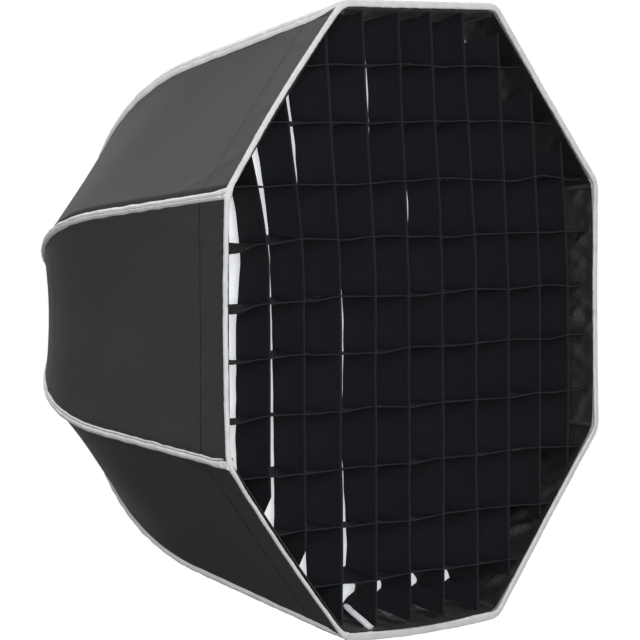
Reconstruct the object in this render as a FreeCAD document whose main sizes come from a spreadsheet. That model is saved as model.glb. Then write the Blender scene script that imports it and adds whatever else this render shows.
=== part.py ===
import FreeCAD, Part
import math
import os
import re
import Sketcher

# An eight-sided folding light softbox.  Its axis is Y: the three-lug mount is at the rear, with its
# flange face on y = 0, and the open front faces -Y.  +Z is up and the flats stand left, right, top
# and bottom, so that the eight ribs lie at 22.5, 67.5, ... degrees.  All lengths are millimetres.

Vector = FreeCAD.Vector

SIDES = 8
STEP = 360.0 / SIDES
HALF = STEP / 2.0

SIZES = {
    # fabric shell, in the plane half way between two ribs: a line, an arc and a line
    "front_apothem": 277.2,
    "front_depth": 371.2,
    "front_slope": 14.7,
    "front_run": 185.0,
    "bend_radius": 274.0,
    "tail_slope": 60.0,
    "tail_apothem": 84.0,
    "fabric": 1.2,
    "seam_gap": 0.4,
    "trim": 20.0,
    # rib rods, which lie inside the corners of the shell
    "rod_inset": 8.0,
    "rod_radius": 2.5,
    "rod_recess": 3.0,
    "rod_front_run": 176.9,
    "rod_bend_radius": 271.0,
    "rod_tail_slope": 61.9,
    "rod_seat": 30.0,
    # rib roots and their hinges
    "hinge_circle": 72.0,
    "hinge_depth": 13.0,
    "pin_radius": 2.0,
    "pin_length": 24.0,
    "pin_play": 0.05,
    "eye_radius": 5.5,
    "eye_width": 8.0,
    "neck_length": 14.0,
    "root_length": 60.0,
    "root_width": 11.0,
    "root_height": 10.0,
    "socket_radius": 3.2,
    "lever_along": 50.0,
    "lever_offset": 14.0,
    "ear_radius": 4.5,
    "ear_foot": 9.0,
    "ear_flat": 2.0,
    "rivet_radius": 1.5,
    # struts between the runner and the rib roots
    "strut_length": 54.4,
    "strut_angle": 134.26,
    "strut_width": 5.0,
    "strut_half_height": 3.0,
    "strut_eye_radius": 4.0,
    "strut_end_radius": 6.5,
    "strut_end_hole": 4.0,
    "strut_play": 0.4,
    # speed ring and its rear cover
    "ring_inner": 50.0,
    "ring_outer": 80.0,
    "ring_front": 21.0,
    "ring_bevel": 5.5,
    "cover_thickness": 3.0,
    "cover_inner": 60.3,
    "slot_inner": 65.0,
    "slot_width": 8.8,
    "slot_floor": 6.5,
    "screw_radius": 1.5,
    "screw_head": 2.8,
    "screw_length": 10.0,
    "cover_screw_circle": 71.0,
    # three-lug mount
    "mount_bore": 45.0,
    "mount_outer": 49.0,
    "mount_length": 12.0,
    "flange_outer": 60.0,
    "lug_outer": 52.5,
    "lug_start": 6.0,
    "lug_thickness": 4.0,
    "lug_sweep": 40.0,
    "mount_screw_circle": 55.0,
    "mount_screw_turn": 15.0,
    # guide rods and runner
    "guide_circle": 58.0,
    "guide_radius": 3.0,
    "guide_seat": 8.0,
    "guide_tip": 132.0,
    "guide_play": 0.05,
    "nut_radius": 5.5,
    "nut_height": 5.0,
    "runner_depth": 89.0,
    "runner_inner": 47.0,
    "runner_outer": 66.0,
    "runner_height": 10.0,
    "runner_pivot": 70.0,
    "runner_ear_radius": 5.0,
    "runner_ear_foot": 3.0,
    "runner_ear_flat": 2.0,
    "strut_pin_length": 11.0,
    # release buttons on the runner
    "button_inner": 52.5,
    "button_width": 9.2,
    "button_thickness": 3.0,
    "button_slot_inner": 54.7,
    "button_slot_outer": 63.8,
    "button_slot_width": 6.8,
    "stem_start": 66.5,
    "stem_width": 5.0,
    "cap_start": 74.0,
    "cap_end": 78.0,
    "cap_width": 15.0,
    "cap_height": 9.0,
    "button_play": 0.2,
    "spring_radius": 3.6,
    "spring_wire": 0.4,
    "spring_start": 66.6,
    "spring_length": 6.8,
    "spring_turns": 4.0,
    # diffuser and fabric grid inside the front
    "grid_recess": 4.0,
    "grid_height": 36.0,
    "grid_apothem": 262.0,
    "grid_corner": 275.0,
    "grid_pitch": 50.4,
    "grid_count": 10.0,
    "grid_shift": 12.0,
    "strip": 1.0,
    "strip_gap": 0.3,
    "diffuser_depth": 50.0,
    "diffuser_apothem": 260.0,
    "diffuser_corner": 273.0,
    "diffuser_thickness": 1.0,
}

RIB_FRONT_SLOPE = "atan(tan(front_slope) / cos(22.5))"

doc = FreeCAD.newDocument("octabox")
dims = doc.addObject("Spreadsheet::Sheet", "dims")
for row, (alias, value) in enumerate(SIZES.items(), start=1):
    dims.set(f"A{row}", alias)
    dims.set(f"B{row}", str(value))
    dims.setAlias(f"B{row}", alias)
doc.recompute()

sub_parts = []


def formula(text):
    """The text with each named size written as a cell of the sheet."""
    return re.sub(r"[a-z_]+", lambda word: "dims." + word[0] if word[0] in SIZES else word[0], text)


def number(text):
    """The present value of a formula."""
    result = dims.evalExpression(formula(text))
    return float(getattr(result, "Value", result))


def bind(thing, **formulas):
    """Ties properties of an object to formulas of the sheet."""
    for name, text in formulas.items():
        thing.setExpression(name, formula(text))


def around(degrees):
    """The turn about Y that carries +X to an azimuth measured from +X towards +Z."""
    return FreeCAD.Rotation(Vector(0, 1, 0), -degrees)


# ---------------------------------------------------------------- bodies, sketches and features

def new_body(node, placement=FreeCAD.Placement()):
    body = doc.addObject("PartDesign::Body", node)
    body.Label = node
    body.Placement = placement
    sub_parts.append(body)
    return body


def origin_feature(body, role):
    return next(item for item in body.Origin.OriginFeatures if item.Role == role)


def new_sketch(body, role, offset="0", turn=0.0):
    """A sketch on an origin plane, moved along its normal and turned about the plane's second axis."""
    sketch = body.newObject("Sketcher::SketchObject", body.Name + "_sketch")
    sketch.AttachmentSupport = [(origin_feature(body, role), "")]
    sketch.MapMode = "FlatFace"
    swing = FreeCAD.Rotation(Vector(0, 1, 0), -turn)
    sketch.AttachmentOffset = FreeCAD.Placement(Vector(0, 0, number(offset)), swing)
    if offset != "0":
        sketch.setExpression("AttachmentOffset.Base.z", formula(offset))
    return sketch


def hold(sketch, kind, *where, text):
    """Adds one driving constraint and ties it to a formula."""
    value = number(text)
    angle = kind == "Angle"
    place = sketch.addConstraint(Sketcher.Constraint(kind, *where, math.radians(value) if angle else value))
    tied = f"1deg * ({formula(text)})" if angle else formula(text)
    sketch.setExpression(f"Constraints[{place}]", tied)


def pin_point(sketch, item, end, across, up):
    """Fixes one end of a line or one centre at given distances from the sketch's origin."""
    hold(sketch, "DistanceX", -1, 1, item, end, text=across)
    hold(sketch, "DistanceY", -1, 1, item, end, text=up)


def draw_polygon(sketch, corners):
    """A closed outline through corners, each a pair of formulas."""
    points = [Vector(number(across), number(up), 0) for across, up in corners]
    lines = [
        sketch.addGeometry(Part.LineSegment(point, points[(i + 1) % len(points)]), False)
        for i, point in enumerate(points)
    ]
    for i, line in enumerate(lines):
        sketch.addConstraint(Sketcher.Constraint("Coincident", line, 2, lines[(i + 1) % len(lines)], 1))
    for line, (across, up) in zip(lines, corners):
        pin_point(sketch, line, 1, across, up)


def draw_rectangle(sketch, left, right, low, high):
    draw_polygon(sketch, [(left, low), (right, low), (right, high), (left, high)])


def draw_circle(sketch, across, up, radius):
    centre = Vector(number(across), number(up), 0)
    circle = sketch.addGeometry(Part.Circle(centre, Vector(0, 0, 1), number(radius)), False)
    pin_point(sketch, circle, 3, across, up)
    hold(sketch, "Radius", circle, text=radius)


def draw_bend(sketch, start, first_slope, first_run, radius, last_slope, last_across):
    """A line, a tangent arc and a tangent line, running rearwards and in towards the axis."""
    one, two = math.radians(number(first_slope)), math.radians(number(last_slope))
    bend, run = number(radius), number(first_run)
    begin = Vector(number(start[0]), number(start[1]), 0)
    first = begin + Vector(-math.sin(one), math.cos(one), 0) * run
    centre = first - Vector(math.cos(one), math.sin(one), 0) * bend
    second = centre + Vector(math.cos(two), math.sin(two), 0) * bend
    tail = (second.x - number(last_across)) / math.sin(two)
    end = second + Vector(-math.sin(two), math.cos(two), 0) * tail
    line = sketch.addGeometry(Part.LineSegment(begin, first), False)
    circle = Part.Circle(centre, Vector(0, 0, 1), bend)
    arc = sketch.addGeometry(Part.ArcOfCircle(circle, one, two), False)
    last = sketch.addGeometry(Part.LineSegment(second, end), False)
    sketch.addConstraint(Sketcher.Constraint("Tangent", line, 2, arc, 1))
    sketch.addConstraint(Sketcher.Constraint("Tangent", arc, 2, last, 1))
    pin_point(sketch, line, 1, *start)
    hold(sketch, "Angle", line, text=f"90 + {first_slope}")
    hold(sketch, "Distance", line, text=first_run)
    hold(sketch, "Radius", arc, text=radius)
    hold(sketch, "Angle", last, text=f"90 + {last_slope}")
    hold(sketch, "DistanceX", -1, 1, last, 2, text=last_across)
    return line, last


def volume(body):
    doc.recompute()
    return body.Shape.Volume


def new_pad(body, sketch, length, symmetric=True, reverse=False):
    pad = body.newObject("PartDesign::Pad", body.Name + "_pad")
    pad.Profile = sketch
    pad.SideType = "Symmetric" if symmetric else "One side"
    pad.Reversed = reverse
    bind(pad, Length=length)
    doc.recompute()
    return pad


def new_pocket(body, sketch, length, symmetric=True, reverse=False):
    before = volume(body)
    pocket = body.newObject("PartDesign::Pocket", body.Name + "_pocket")
    pocket.Profile = sketch
    pocket.Type = "Length"
    pocket.SideType = "Symmetric" if symmetric else "One side"
    pocket.Reversed = reverse
    bind(pocket, Length=length)
    if volume(body) >= before:
        raise RuntimeError(body.Label + ": a pocket cuts nothing")
    return pocket


def new_turning(body, sketch):
    turning = body.newObject("PartDesign::Revolution", body.Name + "_turning")
    turning.Profile = sketch
    turning.ReferenceAxis = (sketch, ["V_Axis"])
    turning.Angle = 360.0
    doc.recompute()
    return turning


def repeat(body, feature, count):
    """Repeats a feature evenly about the Y axis."""
    pattern = body.newObject("PartDesign::PolarPattern", body.Name + "_pattern")
    pattern.Originals = [feature]
    pattern.Axis = (origin_feature(body, "Y_Axis"), [""])
    pattern.Angle = 360.0
    pattern.Occurrences = count
    body.Tip = pattern
    doc.recompute()
    return pattern


def new_turned(node, corners):
    """A body that starts as an outline turned about the Y axis, its corners given as radius and place."""
    body = new_body(node)
    sketch = new_sketch(body, "XY_Plane")
    draw_polygon(sketch, corners)
    new_turning(body, sketch)
    return body


def new_ring(node, inner, outer, low, high):
    """A body that starts as a plain ring about the Y axis."""
    return new_turned(node, [(inner, low), (outer, low), (outer, high), (inner, high)])


def drill(body, across, up, radius, role, length, offset="0", turn=0.0, count=1):
    """A round hole, straight through both ways from its sketch, repeated about the Y axis."""
    sketch = new_sketch(body, role, offset, turn)
    draw_circle(sketch, across, up, radius)
    pocket = new_pocket(body, sketch, length)
    if count > 1:
        repeat(body, pocket, count)


# ---------------------------------------------------------------- hub

BEVEL_AT_COVER = ("ring_outer - ring_bevel + cover_thickness", "-cover_thickness")


def make_speed_ring():
    """The hub: eight slots for the rib roots, and blind seats for the guide rods.

    A bevel runs round its rear edge and on across the cover."""
    body = new_turned("speed_ring", [
        ("ring_inner", "-ring_front"), ("ring_outer", "-ring_front"), ("ring_outer", "-ring_bevel"),
        BEVEL_AT_COVER, ("ring_inner", "-cover_thickness"),
    ])
    slot = new_sketch(body, "XY_Plane", turn=HALF)
    draw_rectangle(slot, "slot_inner", "ring_outer + 1", "-ring_front - 1", "-slot_floor")
    repeat(body, new_pocket(body, slot, "slot_width"), SIDES)
    drill(body, "hinge_circle", "-hinge_depth", "pin_radius + 0.02", "XY_Plane", "pin_length",
          turn=HALF, count=SIDES)
    drill(body, "guide_circle", "0", "guide_radius", "XZ_Plane", "2 * (ring_front - guide_seat)",
          offset="ring_front", count=4)
    drill(body, "mount_screw_circle * cos(mount_screw_turn)",
          "mount_screw_circle * sin(mount_screw_turn)", "screw_radius",
          "XZ_Plane", "2 * screw_length", count=6)
    drill(body, "cover_screw_circle", "0", "screw_radius", "XZ_Plane", "2 * screw_length", count=4)


def make_hinge_pins():
    body = new_body("rib_hinge_pins")
    sketch = new_sketch(body, "XY_Plane", turn=HALF)
    draw_circle(sketch, "hinge_circle", "-hinge_depth", "pin_radius")
    repeat(body, new_pad(body, sketch, "pin_length - 2"), SIDES)


def make_cover():
    """The rear plate that closes the hinge slots."""
    body = new_turned("rear_cover_ring", [
        ("cover_inner", "-cover_thickness"), BEVEL_AT_COVER, ("ring_outer - ring_bevel", "0"),
        ("cover_inner", "0"),
    ])
    drill(body, "cover_screw_circle", "0", "screw_head", "XZ_Plane", "4 * cover_thickness", count=4)


def make_screws(node, circle, turn, count, head_room):
    """Cylinder-head screws pointing forwards, with their heads just inside the rear face."""
    body = new_body(node)
    shank = new_sketch(body, "XZ_Plane")
    across, up = f"{circle} * cos({turn})", f"{circle} * sin({turn})"
    draw_circle(shank, across, up, "screw_radius - 0.05")
    repeat(body, new_pad(body, shank, "screw_length - 0.2", symmetric=False), count)
    head = new_sketch(body, "XZ_Plane")
    draw_circle(head, across, up, "screw_head - 0.1")
    repeat(body, new_pad(body, head, head_room, symmetric=False), count)


def make_mount():
    """The three-lug collar: a flange on the speed ring, a short tube and three lugs."""
    body = new_ring("bayonet_collar", "mount_bore", "flange_outer", "-cover_thickness", "0")
    tube = new_sketch(body, "XY_Plane")
    draw_rectangle(tube, "mount_bore", "mount_outer", "-0.5", "mount_length")
    new_turning(body, tube)
    lug = new_sketch(body, "XY_Plane", turn=90.0)
    draw_rectangle(lug, "mount_outer - 1", "lug_outer", "lug_start", "lug_start + lug_thickness")
    tooth = body.newObject("PartDesign::Revolution", "lug")
    tooth.Profile = lug
    tooth.ReferenceAxis = (lug, ["V_Axis"])
    tooth.Midplane = True
    bind(tooth, Angle="lug_sweep")
    doc.recompute()
    repeat(body, tooth, 3)
    drill(body, "mount_screw_circle * cos(mount_screw_turn)",
          "mount_screw_circle * sin(mount_screw_turn)", "screw_head",
          "XZ_Plane", "4 * cover_thickness", count=6)


def make_guides():
    """Four rods along which the runner slides, and the nuts that end them."""
    body = new_body("guide_rods")
    sketch = new_sketch(body, "XZ_Plane", offset="guide_seat")
    draw_circle(sketch, "guide_circle", "0", "guide_radius")
    repeat(body, new_pad(body, sketch, "guide_tip - guide_seat", symmetric=False), 4)
    nuts = new_body("guide_rod_nuts")
    sketch = new_sketch(nuts, "XZ_Plane", offset="guide_tip")
    draw_circle(sketch, "guide_circle", "0", "nut_radius")
    repeat(nuts, new_pad(nuts, sketch, "nut_height", symmetric=False), 4)


# ---------------------------------------------------------------- runner

def make_runner():
    """The sliding ring: strut ears at the rib azimuths, rod bores and two button slots between."""
    low, high = "-runner_depth - runner_height / 2", "-runner_depth + runner_height / 2"
    body = new_ring("runner_ring", "runner_inner", "runner_outer", low, high)
    ear = new_sketch(body, "XY_Plane", turn=HALF)
    draw_polygon(ear, [
        ("runner_outer - runner_ear_foot", low),
        ("runner_pivot + runner_ear_flat", low),
        ("runner_pivot + runner_ear_radius", "-runner_depth - runner_ear_flat"),
        ("runner_pivot + runner_ear_radius", "-runner_depth + runner_ear_flat"),
        ("runner_pivot + runner_ear_flat", high),
        ("runner_outer - runner_ear_foot", high),
    ])
    repeat(body, new_pad(body, ear, "strut_pin_length"), SIDES)
    gap = new_sketch(body, "XY_Plane", turn=HALF)
    draw_rectangle(gap, "runner_pivot - strut_eye_radius - 0.5", "runner_pivot + runner_ear_radius + 1",
                   "-runner_depth - runner_height", "-runner_depth + runner_height")
    repeat(body, new_pocket(body, gap, "strut_width + 2 * strut_play"), SIDES)
    drill(body, "runner_pivot", "-runner_depth", "rivet_radius + 0.02", "XY_Plane",
          "2 * strut_pin_length", turn=HALF, count=SIDES)
    drill(body, "guide_circle", "0", "guide_radius + guide_play", "XZ_Plane", "3 * runner_height",
          offset="runner_depth", count=4)
    slot = new_sketch(body, "XZ_Plane", offset="runner_depth")
    draw_rectangle(slot, "button_inner - 3", "runner_outer + 1", "-button_width / 2 - button_play",
                   "button_width / 2 + button_play")
    repeat(body, new_pocket(body, slot, "button_thickness + 2 * button_play"), 2)


def make_strut_pins():
    body = new_body("strut_pins")
    sketch = new_sketch(body, "XY_Plane", turn=HALF)
    draw_circle(sketch, "runner_pivot", "-runner_depth", "rivet_radius")
    repeat(body, new_pad(body, sketch, "strut_pin_length"), SIDES)


def make_button(side, azimuth):
    """A plate with a long hole round one guide rod, and a pad outside the runner."""
    body = new_body(f"release_button_{side}", FreeCAD.Placement(Vector(), around(azimuth)))
    plate = new_sketch(body, "XZ_Plane", offset="runner_depth")
    draw_polygon(plate, [
        ("button_inner", "-button_width / 2"), ("stem_start - 1", "-button_width / 2"),
        ("stem_start", "-stem_width / 2"), ("cap_start + 1", "-stem_width / 2"),
        ("cap_start + 1", "stem_width / 2"), ("stem_start", "stem_width / 2"),
        ("stem_start - 1", "button_width / 2"), ("button_inner", "button_width / 2"),
    ])
    new_pad(body, plate, "button_thickness")
    hole = new_sketch(body, "XZ_Plane", offset="runner_depth")
    draw_rectangle(hole, "button_slot_inner", "button_slot_outer", "-button_slot_width / 2",
                   "button_slot_width / 2")
    new_pocket(body, hole, "2 * button_thickness")
    cap = new_sketch(body, "XZ_Plane", offset="runner_depth")
    draw_rectangle(cap, "cap_start", "cap_end", "-cap_width / 2", "cap_width / 2")
    new_pad(body, cap, "cap_height")


def make_button_spring(side, azimuth):
    """A round-wire coil between the runner and the button's pad."""
    length, turns, coil = number("spring_length"), number("spring_turns"), number("spring_radius")
    helix = Part.makeHelix(length / turns, length, coil)
    wire = Part.Wire([Part.Circle(Vector(coil, 0, 0), Vector(0, 1, 0), number("spring_wire")).toShape()])
    spring = doc.addObject("Part::Feature", f"button_spring_{side}")
    spring.Label = f"button_spring_{side}"
    spring.Shape = Part.Wire(helix).makePipeShell([wire], True, True)
    along = FreeCAD.Rotation(Vector(0, 1, 0), 90)
    place = around(azimuth).multVec(Vector(number("spring_start"), 0, 0))
    place.y = -number("runner_depth")
    spring.Placement = FreeCAD.Placement(place, around(azimuth) * along)
    sub_parts.append(spring)


# ---------------------------------------------------------------- ribs and struts

def root_placement(azimuth):
    """Carries a root drawn along +X from its hinge to its place at rest."""
    lean = FreeCAD.Rotation(Vector(0, 0, 1), number("rod_tail_slope") - 90.0)
    hinge = Vector(number("hinge_circle"), -number("hinge_depth"), 0)
    turn = around(azimuth)
    return FreeCAD.Placement(turn.multVec(hinge), turn * lean)


def make_rib_root(index, azimuth):
    """The moulded root of a rib: hinge eye, rod socket, and two ears for the strut."""
    body = new_body(f"rib_root_{index}", root_placement(azimuth))
    eye = new_sketch(body, "XY_Plane")
    draw_circle(eye, "0", "0", "eye_radius")
    new_pad(body, eye, "eye_width")
    neck = new_sketch(body, "XY_Plane")
    draw_rectangle(neck, "0", "neck_length + 1", "-eye_radius + 1", "eye_radius - 1")
    new_pad(body, neck, "eye_width")
    arm = new_sketch(body, "XY_Plane")
    draw_rectangle(arm, "neck_length", "root_length", "-root_height / 2", "root_height / 2")
    new_pad(body, arm, "root_width")
    ears = new_sketch(body, "XY_Plane")
    draw_polygon(ears, [
        ("lever_along - ear_foot", "-root_height / 2 + 1"),
        ("lever_along + ear_foot", "-root_height / 2 + 1"),
        ("lever_along + ear_radius", "-lever_offset"),
        ("lever_along + ear_flat", "-lever_offset - ear_radius"),
        ("lever_along - ear_flat", "-lever_offset - ear_radius"),
        ("lever_along - ear_radius", "-lever_offset"),
    ])
    new_pad(body, ears, "root_width")
    gap = new_sketch(body, "XY_Plane")
    draw_rectangle(gap, "lever_along - ear_foot - 3", "lever_along + ear_foot + 3",
                   "-lever_offset - 2 * ear_radius", "-root_height / 2 - 0.2")
    new_pocket(body, gap, "strut_width + 2 * strut_play")
    rivet = new_sketch(body, "XY_Plane")
    draw_circle(rivet, "lever_along", "-lever_offset", "rivet_radius")
    new_pad(body, rivet, "root_width")
    drill(body, "0", "0", "pin_radius + pin_play", "XY_Plane", "3 * eye_width")
    socket = new_sketch(body, "YZ_Plane", offset="rod_seat")
    draw_circle(socket, "0", "0", "socket_radius")
    new_pocket(body, socket, "root_length", symmetric=False, reverse=True)


def make_rib_rod(index, azimuth):
    """A springy rod bent to the corner of the shell, from its socket to the front."""
    body = new_body(f"rib_rod_{index}", FreeCAD.Placement(Vector(), around(azimuth)))
    corner = f"front_apothem / cos({HALF})"
    start = (
        f"{corner} - rod_inset / cos({RIB_FRONT_SLOPE}) - rod_recess * tan({RIB_FRONT_SLOPE})",
        "rod_recess - front_depth",
    )
    path = new_sketch(body, "XY_Plane")
    draw_bend(path, start, f"{RIB_FRONT_SLOPE} / 1deg", "rod_front_run", "rod_bend_radius",
              "rod_tail_slope", "hinge_circle + (rod_seat + 0.5) * sin(rod_tail_slope)")
    section = body.newObject("Sketcher::SketchObject", body.Name + "_section")
    section.AttachmentSupport = [(path, "Edge1")]
    section.MapMode = "NormalToEdge"
    section.MapPathParameter = 0.0
    draw_circle(section, "0", "0", "rod_radius")
    doc.recompute()
    rod = body.newObject("PartDesign::AdditivePipe", body.Name + "_pipe")
    rod.Profile = section
    rod.Spine = (path, ["Edge1", "Edge2", "Edge3"])
    doc.recompute()


def make_strut(index, azimuth):
    """A flat link.  Its far hole is larger than the rivet that it holds."""
    swing = FreeCAD.Rotation(Vector(0, 0, 1), number("strut_angle") - 90.0)
    turn = around(azimuth)
    pivot = turn.multVec(Vector(number("runner_pivot"), -number("runner_depth"), 0))
    body = new_body(f"strut_{index}", FreeCAD.Placement(pivot, turn * swing))
    bar = new_sketch(body, "XY_Plane")
    draw_rectangle(bar, "0", "strut_length", "-strut_half_height", "strut_half_height")
    new_pad(body, bar, "strut_width")
    for across, radius in (("0", "strut_eye_radius"), ("strut_length", "strut_end_radius")):
        end = new_sketch(body, "XY_Plane")
        draw_circle(end, across, "0", radius)
        new_pad(body, end, "strut_width")
    drill(body, "0", "0", "rivet_radius + pin_play", "XY_Plane", "3 * strut_width")
    drill(body, "strut_length", "0", "strut_end_hole", "XY_Plane", "3 * strut_width")


# ---------------------------------------------------------------- fabric shell

def make_half_panel(index, letter, azimuth, side):
    """Half of one side of the shell, between its middle line and one rib.

    side is -1 for the half towards the lower azimuth and +1 for the other."""
    body = new_body(f"shell_panel_{index}_{letter}", FreeCAD.Placement(Vector(), around(azimuth)))
    band = new_sketch(body, "XY_Plane")
    outer = draw_bend(band, ("front_apothem", "-front_depth"), "front_slope", "front_run",
                      "bend_radius", "tail_slope", "tail_apothem")
    inner = draw_bend(band, ("front_apothem - fabric / cos(front_slope)", "-front_depth"),
                      "front_slope", "front_run - fabric * tan(front_slope)",
                      "bend_radius - fabric", "tail_slope", "tail_apothem")
    for one, two, end in ((outer[0], inner[0], 1), (outer[1], inner[1], 2)):
        points = [band.getPoint(one, end), band.getPoint(two, end)]
        closing = band.addGeometry(Part.LineSegment(*points), False)
        band.addConstraint(Sketcher.Constraint("Coincident", closing, 1, one, end))
        band.addConstraint(Sketcher.Constraint("Coincident", closing, 2, two, end))
    new_pad(body, band, "front_apothem", symmetric=False, reverse=side < 0)
    near, far = "tail_apothem - trim", "front_apothem + trim"
    sign = "+" if side > 0 else "-"
    beyond = new_sketch(body, "XZ_Plane", offset="front_depth / 2")
    draw_polygon(beyond, [
        (near, f"0 {sign} (({near}) * tan({HALF}) - seam_gap)"),
        (far, f"0 {sign} (({far}) * tan({HALF}) - seam_gap)"),
        (far, f"0 {sign} 2 * front_apothem"),
        (near, f"0 {sign} 2 * front_apothem"),
    ])
    new_pocket(body, beyond, "2 * front_depth")
    middle = new_sketch(body, "XZ_Plane", offset="front_depth / 2")
    draw_polygon(middle, [
        (near, f"0 {sign} -1"), (far, f"0 {sign} -1"),
        (far, f"0 {sign} seam_gap / 2"), (near, f"0 {sign} seam_gap / 2"),
    ])
    new_pocket(body, middle, "2 * front_depth")


# ---------------------------------------------------------------- front covers

def eight_sided(name, apothem, corner, rear, height):
    """An eight-sided block about the Y axis, its corners rounded to a radius."""
    prism = doc.addObject("Part::Prism", name + "_prism")
    prism.Polygon = SIDES
    bind(prism, Circumradius=f"({apothem}) / cos({HALF})", Height=height)
    across = FreeCAD.Rotation(Vector(1, 0, 0), 90)
    flats = FreeCAD.Rotation(Vector(0, 0, 1), HALF)
    disc = doc.addObject("Part::Cylinder", name + "_disc")
    bind(disc, Radius=corner, Height=height)
    for solid in (prism, disc):
        solid.Placement = FreeCAD.Placement(Vector(), across * flats)
        solid.setExpression("Placement.Base.y", formula(rear))
    block = doc.addObject("Part::Common", name)
    block.Base, block.Tool = prism, disc
    return block


def make_diffuser():
    rear = "diffuser_depth - front_depth + diffuser_thickness"
    block = eight_sided("front_diffuser", "diffuser_apothem", "diffuser_corner", rear,
                        "diffuser_thickness")
    block.Label = "front_diffuser"
    sub_parts.append(block)


def make_grid_band():
    rear = "grid_recess + grid_height - front_depth"
    outer = eight_sided("band_outer", "grid_apothem", "grid_corner", rear, "grid_height")
    inner = eight_sided("band_inner", "grid_apothem - strip", "grid_corner - strip",
                        rear + " + 1", "grid_height + 2")
    band = doc.addObject("Part::Cut", "grid_band")
    band.Label = "grid_band"
    band.Base, band.Tool = outer, inner
    sub_parts.append(band)


def make_grid_strips(node, upright):
    """Ten crossing strips.  Upright ones stand off centre and are slotted from the rear, and level
    ones are slotted from the front."""
    pitch, strip, gap = number("grid_pitch"), number("strip"), number("strip_gap")
    reach, count = number("grid_apothem"), int(number("grid_count"))
    front, height = number("grid_recess - front_depth"), number("grid_height")
    flat, corner = number("grid_apothem - strip - strip_gap"), number("grid_corner - strip - strip_gap")
    places = [(i - (count - 1) / 2.0) * pitch for i in range(count)]
    shifted = [place + number("grid_shift") for place in places]
    own, crossing = (shifted, places) if upright else (places, shifted)
    comb = [
        Part.makeBox(strip, height, 2 * reach, Vector(place - strip / 2, front, -reach)) for place in own
    ]
    slots = [
        Part.makeBox(2 * reach, height / 2 + gap, strip + gap,
                     Vector(-reach, front + height / 2 - gap, place - strip / 2 - gap / 2))
        for place in crossing
    ]
    outline = [
        Vector(flat / math.cos(math.radians(HALF)) * math.cos(math.radians(HALF + i * STEP)), front,
               flat / math.cos(math.radians(HALF)) * math.sin(math.radians(HALF + i * STEP)))
        for i in range(SIDES)
    ]
    inside = Part.Face(Part.makePolygon(outline + outline[:1])).extrude(Vector(0, height, 0))
    inside = inside.common(Part.makeCylinder(corner, height, Vector(0, front, 0), Vector(0, 1, 0)))
    shape = Part.makeCompound([blade.cut(slots).common(inside) for blade in comb])
    if not upright:
        middle = Vector(0, front + height / 2, 0)
        shape = shape.copy()
        shape.rotate(middle, Vector(0, 1, 0), 90)
        shape.rotate(middle, Vector(1, 0, 0), 180)
    strips = doc.addObject("Part::Feature", node)
    strips.Label = node
    strips.Shape = Part.makeCompound(shape.Solids)
    strips.Placement = FreeCAD.Placement()
    sub_parts.append(strips)


# ---------------------------------------------------------------- the whole softbox

make_speed_ring()
make_hinge_pins()
make_cover()
make_screws("cover_screws", "cover_screw_circle", "0", 4, "cover_thickness - 0.1")
make_mount()
make_screws("mount_screws", "mount_screw_circle", "mount_screw_turn", 6, "cover_thickness - 0.1")
make_guides()
make_runner()
make_strut_pins()
for side, azimuth in (("right", 0.0), ("left", 180.0)):
    make_button(side, azimuth)
    make_button_spring(side, azimuth)
for index in range(1, SIDES + 1):
    rib_azimuth = HALF + (index - 1) * STEP
    make_rib_root(index, rib_azimuth)
    make_rib_rod(index, rib_azimuth)
    make_strut(index, rib_azimuth)
    make_half_panel(index, "a", rib_azimuth + HALF, -1)
    make_half_panel(index, "b", rib_azimuth + HALF, 1)
make_diffuser()
make_grid_band()
make_grid_strips("grid_vertical_strips", upright=True)
make_grid_strips("grid_horizontal_strips", upright=False)
doc.recompute()

for thing in doc.Objects:
    if any(state in thing.State for state in ("Invalid", "Error")):
        raise RuntimeError(f"{thing.Label} failed: {thing.State}")
for thing in sub_parts:
    if thing.Shape.isNull() or not thing.Shape.isValid():
        raise RuntimeError(thing.Label + " has no valid shape")

os.makedirs("parts", exist_ok=True)
for thing in sub_parts:
    thing.Shape.exportStep(f"parts/{thing.Label}.step")
print(len(sub_parts), "sub-parts written")
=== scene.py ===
"""Looks of the folding octabox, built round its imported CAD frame."""
import math
from functools import lru_cache

import bpy
import bmesh
import numpy as np
from mathutils import Matrix, Vector


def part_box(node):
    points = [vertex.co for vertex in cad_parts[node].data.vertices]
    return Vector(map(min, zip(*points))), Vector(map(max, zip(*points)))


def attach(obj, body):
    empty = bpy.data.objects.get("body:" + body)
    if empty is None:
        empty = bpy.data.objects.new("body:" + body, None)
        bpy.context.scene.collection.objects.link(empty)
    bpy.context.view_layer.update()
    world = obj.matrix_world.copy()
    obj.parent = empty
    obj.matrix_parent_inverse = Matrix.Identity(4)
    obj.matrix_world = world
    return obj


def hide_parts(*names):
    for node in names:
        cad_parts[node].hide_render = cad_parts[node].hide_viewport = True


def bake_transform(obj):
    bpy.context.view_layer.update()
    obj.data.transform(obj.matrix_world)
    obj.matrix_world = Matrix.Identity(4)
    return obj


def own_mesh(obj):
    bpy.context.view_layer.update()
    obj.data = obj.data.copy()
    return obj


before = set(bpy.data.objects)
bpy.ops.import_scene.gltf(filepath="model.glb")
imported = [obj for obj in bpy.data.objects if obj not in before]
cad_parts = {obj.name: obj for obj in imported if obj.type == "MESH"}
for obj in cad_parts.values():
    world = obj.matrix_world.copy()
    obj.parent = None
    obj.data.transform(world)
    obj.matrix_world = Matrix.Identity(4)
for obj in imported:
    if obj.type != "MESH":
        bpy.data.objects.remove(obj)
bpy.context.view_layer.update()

MM = 0.001
TAU = 2 * math.pi
REARWARD = np.array([0.0, 1.0, 0.0])

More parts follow.
